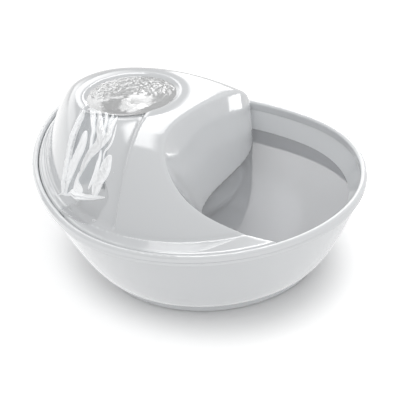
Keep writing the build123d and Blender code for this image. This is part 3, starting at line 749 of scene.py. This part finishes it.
def on_curve(points: tuple[Place, ...], share: float) -> Vector:
    """A place on the smooth curve through some points.

    Args:
        points: The points, in order.
        share: How far along the curve, from 0 to 1.

    Returns:
        The place.
    """
    last = len(points) - 1
    step = min(int(share * last), last - 1)
    local = share * last - step
    before, start, end, after = (
        Vector(points[max(0, min(last, step + shift))]) for shift in (-1, 0, 1, 2)
    )
    bend = 2 * start + (end - before) * local + (2 * before - 5 * start + 4 * end - after) * local**2
    return (bend + (3 * start - before - 3 * end + after) * local**3) / 2


def on_disc(u: float, v: float) -> Vector:
    """Maps a square's place to a round disc's, both from -1 to 1."""
    return Vector((u * math.sqrt(1 - v * v / 2), v * math.sqrt(1 - u * u / 2)))


def ripple(x: float, y: float, scale: float) -> float:
    """Smooth random height between about -1 and 1, with features of about the given size.

    Args:
        x: The place along, in any unit.
        y: The place across, in the same unit.
        scale: The features' size, in the same unit.

    Returns:
        The height.
    """
    return noise.noise(Vector((x / scale, y / scale, NOISE_LAYER)))


# ---------------------------------------------------------------- hood


@dataclass
class Hood:
    """The domed hood with its upper dish, cascade channel and drinking scoop."""

    voxel: float = 1.15 * MM
    smooth_passes: int = 12
    smooth_share: float = 0.5

    def build(self) -> bpy.types.Object:
        """Rounds every crease of the hood as a mould does.

        Returns:
            The shell that stands for the hood.
        """
        shell, crown = copy_of("hood", "hood_shell"), copy_of("upper_dish", "crown")
        take(shell)
        crown.select_set(True)
        bpy.ops.object.join()
        remesh = shell.modifiers.new("skin", "REMESH")
        remesh.mode = "VOXEL"
        remesh.voxel_size = self.voxel
        remesh.use_smooth_shade = True
        smooth = shell.modifiers.new("round", "SMOOTH")
        smooth.factor = self.smooth_share
        smooth.iterations = self.smooth_passes
        apply_modifiers(shell)
        bpy.ops.object.shade_smooth()
        wear(shell, WHITE_GLOSS)
        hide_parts("hood", "upper_dish")
        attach(shell, Body.HOOD.value)
        return shell


# ---------------------------------------------------------------- water


@dataclass(frozen=True)
class Strand:
    """One bulging strand of white water, in millimetres along and across the cascade channel."""

    points: tuple[Place, ...]
    width: float
    height: float
    veins: float = 2.0


@dataclass
class Cascade:
    """The water that runs from the upper dish down the hood's left flank.

    The level and the middle are in metres. All else is in millimetres along and across the channel.
    """

    shell: bpy.types.Object
    level: float
    middle: Vector
    heading: float = math.radians(213.0)
    sill: float = 40.0
    film_cells: Cells = (90, 60)
    film_lift: float = 0.55
    film_swell: float = 0.8
    film_swell_size: float = 9.0
    film_stretch: float = 4.0
    film_edge_power: int = 8
    film_sink: float = 0.1
    strand_cells: Cells = (70, 14)
    strand_stride: float = 0.02
    strand_tip: float = 0.02
    strand_end_power: float = 0.6
    strand_side_power: float = 0.7
    strand_wander: float = 0.25
    strand_wander_size: float = 7.0
    vein_depth: float = 0.4
    strand_sink: float = 0.12
    left_edge: tuple[Place, ...] = ((26, -21), (37, -26), (52, -27), (65, -29), (72, -32), (80, -34))
    right_edge: tuple[Place, ...] = ((30, 3), (42, 5), (54, 7), (67, 8), (84, 13), (100, 17))
    strands: tuple[Strand, ...] = (
        Strand(((36, -26), (45, -26), (58, -28), (71, -29), (79, -31)), 5.0, 1.6),
        Strand(((56, -17), (67, -17), (74, -21), (77, -27), (84, -30)), 12.5, 2.4, 2),
        Strand(((32, -22), (40, -18), (53, -11), (67, -7), (72, -7)), 4.0, 1.3, 1),
        Strand(((34, -14), (53, -5), (65, 0), (72, -3), (78, -9), (82, -12)), 8.0, 1.7, 3),
        Strand(((40, 4), (54, 5), (66, 5), (72, 1), (77, -5), (81, -8), (86, -13)), 6.5, 1.8, 3),
        Strand(((74, 4), (84, 5), (91, 3), (96, 0)), 4.5, 1.3, 1),
        Strand(((78, 13), (88, 12), (95, 9), (102, 8)), 12.0, 2.0, 4),
        Strand(((49, 8), (68, 11), (76, 8), (83, 9)), 1.8, 0.9, 1),
        Strand(((82, -12), (88, -14), (95, -6)), 6.0, 1.2, 2),
        Strand(((84, -34), (86, -22), (94, -11), (101, 4), (104, 18)), 3.0, 1.6, 1),
        Strand(((34, -18), (44, -14), (56, -9)), 3.0, 1.3, 1),
        Strand(((35, -8), (46, -2), (60, 1)), 3.5, 1.4, 1),
        Strand(((38, 0), (48, 2), (60, 5)), 3.6, 1.5, 2),
        Strand(((33, -25), (35, -18), (39, -11)), 4.0, 1.4, 2),
    )

    def __post_init__(self) -> None:
        """Prepares the search of the hood's surface."""
        self.tree = surface_of(self.shell)

    def under(self, place: Vector) -> tuple[Vector, Vector]:
        """Finds the hood's surface below a place in the channel.

        Args:
            place: Millimetres along and across the channel.

        Returns:
            The surface's place and its normal.
        """
        turn = Matrix.Rotation(self.heading, 2)
        flat = self.middle.xy + turn @ place * MM
        spot, normal, _, _ = self.tree.ray_cast(Vector((flat.x, flat.y, RAY_HEIGHT)), Vector((0, 0, -1)))
        return (spot, normal) if spot else (Vector((flat.x, flat.y, BRIM_LEVEL)), Vector((0, 0, 1)))

    def film_rule(self, u: float, v: float) -> Vector:
        """Lays the clear film between its two edges, never below the dish's water."""
        share = (u + 1) / 2
        place = on_curve(self.left_edge, share).lerp(on_curve(self.right_edge, share), (v + 1) / 2)
        spot, normal = self.under(place)
        swell = 1 + self.film_swell * ripple(place.x, place.y * self.film_stretch, self.film_swell_size)
        lift = self.film_lift * (1 - v**self.film_edge_power) * swell - self.film_sink
        laid = spot + normal * lift * MM
        if place.x < self.sill:
            laid.z = max(laid.z, self.level)
        return laid

    def strand_rule(self, strand: Strand, u: float, v: float) -> Vector:
        """Lays a strand along its curve, thick in the middle and thin at its ends and sides."""
        share = (u + 1) / 2
        middle = on_curve(strand.points, share)
        ahead = on_curve(strand.points, min(share + self.strand_stride, 1))
        run = ahead - on_curve(strand.points, max(share - self.strand_stride, 0))
        side = Vector((-run.y, run.x)).normalized()
        inner = self.strand_tip + (1 - 2 * self.strand_tip) * share
        swell = math.sin(math.pi * inner) ** self.strand_end_power
        wander = self.strand_wander * ripple(middle.x, middle.y, self.strand_wander_size)
        place = middle + side * strand.width / 2 * swell * (v + wander)
        spot, normal = self.under(place)
        vein = 1 + self.vein_depth * math.cos(math.tau * strand.veins * (v + wander * 2))
        lift = strand.height * swell * (1 - v * v) ** self.strand_side_power * vein - self.strand_sink
        if place.x < self.sill:
            spot.z = max(spot.z, self.level)
        return spot + normal * lift * MM

    def build(self) -> None:
        """Builds the film and its strands, both riding on the hood."""
        film = grid("cascade_film", self.film_cells, self.film_rule)
        wear(film, FILM_WATER)
        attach(film, Body.HOOD.value)
        made = [
            grid(f"strand_{index}", self.strand_cells, partial(self.strand_rule, strand))
            for index, strand in enumerate(self.strands)
        ]
        strands = joined(made, "cascade_strands")
        wear(strands, FOAMY_WATER_PAINTED_SHEEN)
        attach(strands, Body.HOOD.value)


@dataclass
class DishPool:
    """The rippling water in the upper dish, welling up over the bubbler."""

    middle: Vector
    level: float
    cells: Cells = (130, 130)
    radius: float = 39.0 * MM
    mound_height: float = 4.2 * MM
    mound_radius: float = 17.0 * MM
    ring_length: float = 8.5 * MM
    ring_height: float = 0.30 * MM
    ring_wobble: float = 0.4
    wobble_size: float = 4.0 * MM
    ripple_size: float = 12.0 * MM
    ripple_height: float = 0.3 * MM
    fine_share: float = 0.25
    rim_calm: float = 5.0
    rough_least: float = 0.12
    rough_middle: float = 0.5
    rough_gain: float = 1.6
    crest: Vector = field(default_factory=lambda: Vector((-12.2, -6.2)) * MM)
    rough_side: Vector = field(default_factory=lambda: Vector((0.56, 0.83)))

    def rule(self, u: float, v: float) -> Vector:
        """A disc with a mound in the middle and ripples that die out at the rim."""
        spot = on_disc(u, v)
        reach = spot.length
        x, y = spot * self.radius
        away = reach * self.radius
        churn = ripple(x, y, self.wobble_size)
        beside = (Vector((x, y)) - self.crest).length
        mound = self.mound_height * math.exp(-((beside / self.mound_radius) ** 2)) * (1 - reach**4)
        rough = self.rough_middle + self.rough_gain * spot.dot(self.rough_side)
        calm = min(1.0, (1 - reach) * self.rim_calm) * max(self.rough_least, min(1.0, rough))
        turns = away / self.ring_length + self.ring_wobble * churn
        rings = self.ring_height * math.cos(math.tau * turns)
        fine = self.fine_share * ripple(y, x, self.ripple_size / 2)
        waves = self.ripple_height * (ripple(x, y, self.ripple_size) + fine)
        height = self.level + mound + (rings + waves) * calm
        return Vector((self.middle.x + x, self.middle.y + y, height))

    def build(self) -> None:
        """Builds the pool."""
        pool = grid("dish_water", self.cells, self.rule)
        wear(pool, DISH_WATER_PAINTED_SHADE)
        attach(pool, Body.HOOD.value)


@dataclass
class ApronPool:
    """The thin puddle that the cascade makes on the hood's rim, in the channel's millimetres.

    A lobe of its outline has a count, a phase and a size.
    """

    cascade: Cascade
    cells: Cells = (80, 80)
    middle: Place = (106.0, 0.0)
    radii: Place = (13.0, 22.0)
    depth: float = 0.9
    sink: float = 0.1
    lobes: tuple[tuple[int, float, float], ...] = ((3, 0.7, 0.12), (5, 0.0, 0.08))
    ring_height: float = 0.22
    ring_angle: float = 17.0
    wave_height: float = 0.5
    wave_size: float = 5.0

    def rule(self, u: float, v: float) -> Vector:
        """A flat drop with a wavy outline and a few ring waves."""
        spot = on_disc(u, v)
        reach = spot.length
        bearing = math.atan2(spot.y, spot.x)
        outline = 1 + sum(size * math.sin(count * bearing + phase) for count, phase, size in self.lobes)
        place = Vector(self.middle) + Matrix.Diagonal(self.radii) @ spot * outline
        ground, normal = self.cascade.under(place)
        ring = self.ring_height * math.cos(reach * self.ring_angle)
        wave = self.wave_height * ripple(place.x, place.y, self.wave_size)
        lift = self.depth * (1 - reach**3) * (1 + (ring + wave) * (1 - reach)) - self.sink
        return ground + normal * lift * MM

    def build(self) -> None:
        """Builds the puddle."""
        pool = grid("apron_water", self.cells, self.rule)
        wear(pool, CLEAR_WATER)
        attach(pool, Body.HOOD.value)


@dataclass
class BowlWater:
    """The still water in the drinking bowl."""

    level: float

    def build(self) -> None:
        """Cuts the bowl at the water's level and fills the inner outline."""
        water = copy_of("bowl", "bowl_water")
        take(water)
        bpy.ops.object.mode_set(mode="EDIT")
        bpy.ops.mesh.select_all(action="SELECT")
        bpy.ops.mesh.bisect(
            plane_co=(0, 0, self.level),
            plane_no=(0, 0, 1),
            clear_inner=True,
            clear_outer=True,
            threshold=CUT_THRESHOLD,
        )
        bpy.ops.mesh.separate(type="LOOSE")
        bpy.ops.object.mode_set(mode="OBJECT")
        rings = sorted(bpy.context.selected_objects, key=lambda ring: ring.dimensions.x)
        inner = rings[0]
        for ring in rings[1:]:
            bpy.data.objects.remove(ring)
        take(inner)
        inner.name = inner.data.name = "bowl_water"
        bpy.ops.object.mode_set(mode="EDIT")
        bpy.ops.mesh.select_all(action="SELECT")
        bpy.ops.mesh.edge_face_add()
        bpy.ops.object.mode_set(mode="OBJECT")
        if inner.data.polygons[0].normal.z < 0:
            inner.data.flip_normals()
        wear(inner, BOWL_WATER_PAINTED_SHADE)
        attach(inner, Body.FOUNTAIN.value)


@dataclass
class Droplets:
    """Bubbles over the bubbler and drops where the cascade lands, in the channel's millimetres."""

    cascade: Cascade
    seed: int = 11
    bubbles: int = 16
    bubble_reach: Place = (3.0, 13.0)
    bubble_lift: Place = (0.2, 2.2)
    bubble_radius: Place = (0.5, 1.1)
    drops: int = 12
    segments: int = 16
    rings: int = 10
    drop_along: Place = (88.0, 112.0)
    drop_across: Place = (-26.0, 22.0)
    drop_lift: float = 0.4
    drop_radius: Place = (0.4, 0.8)

    def ball(self, spot: Vector, radius: float) -> bpy.types.Object:
        """Adds one small drop.

        Args:
            spot: Its middle.
            radius: Its radius in metres.

        Returns:
            The drop.
        """
        deselect_all()
        bpy.ops.mesh.primitive_uv_sphere_add(
            segments=self.segments, ring_count=self.rings, radius=radius, location=spot
        )
        bpy.ops.object.shade_smooth()
        return added("drop")

    def build(self) -> None:
        """Scatters the drops and joins them in one piece."""
        draw = random.Random(self.seed)
        made = []
        for _ in range(self.bubbles):
            turn, away = draw.uniform(0, math.tau), draw.uniform(*self.bubble_reach)
            spot, _ = self.cascade.under(Vector((away * math.cos(turn), away * math.sin(turn))))
            spot.z = self.cascade.level + draw.uniform(*self.bubble_lift) * MM
            made.append(self.ball(spot, draw.uniform(*self.bubble_radius) * MM))
        for _ in range(self.drops):
            along, across = draw.uniform(*self.drop_along), draw.uniform(*self.drop_across)
            spot, normal = self.cascade.under(Vector((along, across)))
            radius = draw.uniform(*self.drop_radius) * MM
            made.append(self.ball(spot + normal * self.drop_lift * MM, radius))
        drops = joined(made, "water_drops")
        seat(drops)
        wear(drops, CLEAR_WATER)
        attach(drops, Body.HOOD.value)


def add_water(shell: bpy.types.Object) -> None:
    """Fills the fountain and sets its water running.

    Args:
        shell: The hood's shell, which the running water rests on.
    """
    low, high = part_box("bubbler")
    middle = (Vector(low) + Vector(high)) / 2
    level = high[2] + WATER_OVER_BUBBLER
    BowlWater(BOWL_LEVEL).build()
    DishPool(middle, level).build()
    cascade = Cascade(shell, level, middle)
    cascade.build()
    ApronPool(cascade).build()
    Droplets(cascade).build()


# ---------------------------------------------------------------- studio


@dataclass(frozen=True)
class Window:
    """A bright window round the studio, which shows as a reflection alone. Angles are in degrees."""

    azimuth: float
    lean: float
    half_x: float
    half_y: float
    softness: float
    gain: float
    middle_x: float = 0.0
    middle_y: float = 0.0

    def light(self, tree: bpy.types.NodeTree) -> bpy.types.NodeSocket:
        """Adds the window to the world.

        Args:
            tree: The world's node tree.

        Returns:
            The light that comes from it.
        """
        box = SoftBox().place(
            tree,
            Azimuth=math.radians(self.azimuth),
            Lean=math.radians(self.lean),
            Middle_X=self.middle_x,
            Middle_Y=self.middle_y,
            Half_X=self.half_x,
            Half_Y=self.half_y,
            Softness=self.softness,
        )
        return Effect.maths(tree, "MULTIPLY", box.outputs["Mask"], self.gain)


@dataclass(frozen=True)
class Lamp:
    """A soft rectangular lamp.

    It lights matte surfaces alone; if not matte, it shows in glossy ones alone.
    """

    name: str
    place: tuple[float, float, float]
    aim: tuple[float, float, float]
    size: tuple[float, float]
    power: float
    matte: bool = True

    def build(self) -> None:
        """Adds the lamp, turned to what it points at."""
        light = bpy.data.lights.new(self.name, "AREA")
        light.shape = "RECTANGLE"
        light.size, light.size_y = self.size
        light.energy = self.power
        holder = bpy.data.objects.new(self.name, light)
        bpy.context.scene.collection.objects.link(holder)
        holder.visible_camera = False
        holder.visible_diffuse = self.matte
        holder.visible_glossy = not self.matte
        holder.location = self.place
        ahead = Vector(self.aim) - Vector(self.place)
        holder.rotation_euler = ahead.to_track_quat("-Z", "Y").to_euler()


@dataclass
class Studio:
    """Floor, lamps, world and camera."""

    elevation: float = math.radians(29.82)
    azimuth: float = math.radians(-34.86)
    roll: float = math.radians(-4.42)
    distance: float = 0.910
    lens: float = 105.2
    sensor: float = 36.0
    clip_end: float = 20.0
    target: Vector = field(default_factory=lambda: Vector((-0.032, -0.0721, 0.076)))
    floor_size: float = 6.0
    floor_white: float = 0.96
    floor_roughness: float = 0.9
    floor_glow: float = 0.36
    shine_reach: float = 0.2
    shine_gain: float = 0.5
    sky_level: float = 0.77
    mirror_level: float = 0.62
    windows: tuple[Window, ...] = (
        Window(45.0, 0.0, 0.66, 0.15, 0.08, 4.2, middle_x=0.88, middle_y=0.20),
        Window(47.0, 70.0, 0.84, 0.125, 0.08, 3.0),
        Window(87.0, 80.0, 0.30, 0.47, 0.20, 1.1),
        Window(64.5, 65.0, 0.16, 0.12, 0.06, 2.0),
    )
    lamps: tuple[Lamp, ...] = (
        Lamp("overhead", (0.0, -0.03, 1.2), (0.0, -0.03, 0.0), (1.0, 1.0), 0.6),
        Lamp("bowl_fill", (0.12, -0.13, 0.27), (0.08, 0.0, 0.04), (0.14, 0.14), 0.10),
        Lamp("low_card", (0.26, -0.02, 0.026), (0.0, -0.02, 0.026), (0.09, 0.052), 0.04, matte=False),
    )

    def floor_light(self, tree: bpy.types.NodeTree) -> bpy.types.NodeSocket:
        """Makes the floor glow white to the camera beyond a painted shadow oval round the piece, and
        glow in low reflections as a painted reflection, brightest towards -X.

        Args:
            tree: The floor's node tree.

        Returns:
            The strength of the floor's own light.
        """
        rays = tree.nodes.new("ShaderNodeLightPath")
        # painted shadow: the floor's glow fades out in an oval round the piece, so the floor stays
        # darker there
        shadow_oval = PaintedShadowOval().place(
            tree, Middle_X=-0.008, Middle_Y=-0.033, Shorten_Y=0.78, Inner=0.075, Outer=0.123
        )
        glow = Effect.maths(tree, "MULTIPLY", shadow_oval.outputs["Mask"], self.floor_glow)
        glow = Effect.maths(tree, "MULTIPLY", rays.outputs["Is Camera Ray"], glow)
        # painted reflection: the floor glows to glossy rays alone, brightest towards -X and fading out
        # towards +X, which lays bright bands on the glossy plastic
        side = tree.nodes.new("ShaderNodeSeparateXYZ")
        tree.links.new(tree.nodes.new("ShaderNodeTexCoord").outputs["Object"], side.inputs["Vector"])
        fade = tree.nodes.new("ShaderNodeMapRange")
        tree.links.new(side.outputs["X"], fade.inputs["Value"])
        fade.inputs["From Max"].default_value = self.shine_reach
        fade.inputs["To Min"].default_value = self.shine_gain
        fade.inputs["To Max"].default_value = 0.0
        shine = Effect.maths(tree, "MULTIPLY", rays.outputs["Is Glossy Ray"], fade.outputs["Result"])
        return Effect.maths(tree, "ADD", shine, glow)

    def floor(self) -> None:
        """Adds the pale floor, which shows as white outside the painted shadow oval round the piece."""
        deselect_all()
        bpy.ops.mesh.primitive_plane_add(size=self.floor_size, location=(0, 0, 0))
        floor = added("floor")
        paper = bpy.data.materials.new("floor_paper")
        paper.use_nodes = True
        shader = paper.node_tree.nodes["Principled BSDF"]
        shader.inputs["Base Color"].default_value = (*grey(self.floor_white), 1.0)
        shader.inputs["Roughness"].default_value = self.floor_roughness
        shader.inputs["Specular IOR Level"].default_value = 0.0
        shader.inputs["Emission Color"].default_value = WHITE
        paper.node_tree.links.new(self.floor_light(paper.node_tree), shader.inputs["Emission Strength"])
        floor.data.materials.append(paper)

    def world(self) -> None:
        """Sets an even pale world, white to the camera, with bright windows in reflections."""
        world = bpy.data.worlds.new("studio_air")
        world.use_nodes = True
        bpy.context.scene.world = world
        tree = world.node_tree
        rays = tree.nodes.new("ShaderNodeLightPath").outputs
        mirror: Term = self.mirror_level
        for window in self.windows:
            mirror = Effect.maths(tree, "ADD", mirror, window.light(tree))
        white = Effect.maths(tree, "MAXIMUM", rays["Is Camera Ray"], rays["Is Transmission Ray"])
        level: Term = self.sky_level
        for factor, value in ((rays["Is Glossy Ray"], mirror), (white, 1.0)):
            mix = tree.nodes.new("ShaderNodeMix")
            mix.data_type = "FLOAT"
            for label, term in (("Factor", factor), ("A", level), ("B", value)):
                Effect.feed(tree, term, mix.inputs[label])
            level = mix.outputs["Result"]
        background = tree.nodes["Background"]
        tree.links.new(level, background.inputs["Strength"])
        background.inputs["Color"].default_value = WHITE

    def camera(self) -> None:
        """Sets the camera at its elevation, azimuth and roll."""
        level = math.cos(self.elevation)
        ahead = Vector(
            (-math.sin(self.azimuth) * level, math.cos(self.azimuth) * level, -math.sin(self.elevation))
        )
        lens = bpy.data.cameras.new("camera")
        lens.lens = self.lens
        lens.sensor_width = self.sensor
        lens.clip_end = self.clip_end
        camera = bpy.data.objects.new("camera", lens)
        bpy.context.scene.collection.objects.link(camera)
        turn = ahead.to_track_quat("-Z", "Y").to_matrix().to_4x4() @ Matrix.Rotation(self.roll, 4, "Z")
        camera.matrix_world = Matrix.Translation(self.target - ahead * self.distance) @ turn
        bpy.context.scene.camera = camera

    def build(self) -> None:
        """Builds the whole studio."""
        self.floor()
        self.world()
        for lamp in self.lamps:
            lamp.build()
        self.camera()
        bpy.context.scene.view_settings.view_transform = "Standard"


def dress_nodes() -> None:
    """Gives every node of the frame its finish."""
    for name, finish in NODE_FINISHES.items():
        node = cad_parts[name]
        for slot in node.material_slots:
            slot.material = finish.material()
        LOG.info("dressed %s in %s", name, finish.name)


def main() -> None:
    """Builds the fountain's looks and the studio."""
    logging.basicConfig(level=logging.INFO)
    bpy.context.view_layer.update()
    dress_nodes()
    add_water(Hood().build())
    Studio().build()


if __name__ == "__main__":
    main()
